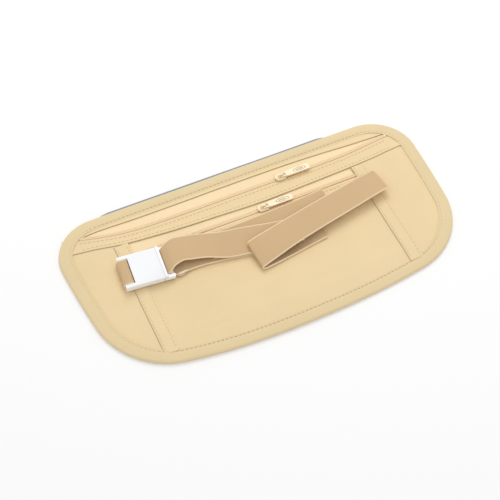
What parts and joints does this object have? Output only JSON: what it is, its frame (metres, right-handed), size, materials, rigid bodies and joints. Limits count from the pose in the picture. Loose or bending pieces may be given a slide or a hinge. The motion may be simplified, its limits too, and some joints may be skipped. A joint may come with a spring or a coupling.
{
  "type": "money belt",
  "caption": "Flat cloth waist pouch with zipped pockets, a folded elastic strap and a white plastic clip buckle.",
  "frame": {"origin": "middle of the pouch's outline, on its back", "axes": "+X along the pouch, towards the end where the strap is sewn on; +Y towards the zipped top edge; +Z out of the front"},
  "size_m": [0.2698, 0.141, 0.0103],
  "materials": {
    "pouch_cloth": "woven nylon, matt",
    "binding_cloth": "woven nylon, matt",
    "grey_backing": "smooth woven polyester, matt",
    "lining": "thin lining cloth",
    "zip_tape": "fine herringbone tape",
    "zip_coil": "nylon coil",
    "painted_slider": "baked enamel, satin",
    "elastic_webbing": "fine ribbed elastic",
    "white_plastic": "moulded acetal, satin gloss"
  },
  "bodies": {
    "pouch": {"back_panel": "grey_backing", "divider_panel": "lining", "edge_binding": "binding_cloth", "top_strip": "pouch_cloth", "middle_strip": "pouch_cloth", "centre_front_panel": "pouch_cloth", "left_front_panel": "pouch_cloth", "right_front_panel": "pouch_cloth", "left_seam_strip": "pouch_cloth", "right_seam_strip": "pouch_cloth", "upper_zip_upper_tape": "zip_tape", "upper_zip_lower_tape": "zip_tape", "upper_zip_upper_coil": "zip_coil", "upper_zip_lower_coil": "zip_coil", "upper_zip_end_stops": "zip_coil", "lower_zip_upper_tape": "zip_tape", "lower_zip_lower_tape": "zip_tape", "lower_zip_upper_coil": "zip_coil", "lower_zip_lower_coil": "zip_coil", "lower_zip_end_stops": "zip_coil", "buckle_socket_half": "white_plastic", "buckle_tab": "elastic_webbing", "strap_buckle_run": "elastic_webbing", "strap_lower_run": "elastic_webbing", "strap_folded_bundle": "elastic_webbing", "strap_sewn_end": "elastic_webbing"},
    "upper_slider": {"upper_zip_slider": "painted_slider"},
    "upper_pull": {"upper_zip_pull": "painted_slider"},
    "lower_slider": {"lower_zip_slider": "painted_slider"},
    "lower_pull": {"lower_zip_pull": "painted_slider"},
    "buckle_plug": {"buckle_plug_half": "white_plastic"}
  },
  "joints": [
    {"name": "upper_slider_travel", "type": "slide", "parent": "pouch", "child": "upper_slider", "axis": [1, 0, 0], "range_m": [-0.115, 0.055]},
    {"name": "upper_pull_swing", "type": "hinge", "parent": "upper_slider", "child": "upper_pull", "pos_m": [0.033, 0.0473, 0.00595], "axis": [0, -1, 0], "range_deg": [0, 165]},
    {"name": "lower_slider_travel", "type": "slide", "parent": "pouch", "child": "lower_slider", "axis": [1, 0, 0], "range_m": [-0.076, 0.065]},
    {"name": "lower_pull_swing", "type": "hinge", "parent": "lower_slider", "child": "lower_pull", "pos_m": [0.01, 0.0269, 0.00595], "axis": [0, -1, 0], "range_deg": [0, 165]},
    {"name": "buckle_release", "type": "slide", "parent": "pouch", "child": "buckle_plug", "axis": [0.9954, -0.0958, 0], "range_m": [0, 0.016], "deforming": ["strap_buckle_run"]}
  ]
}
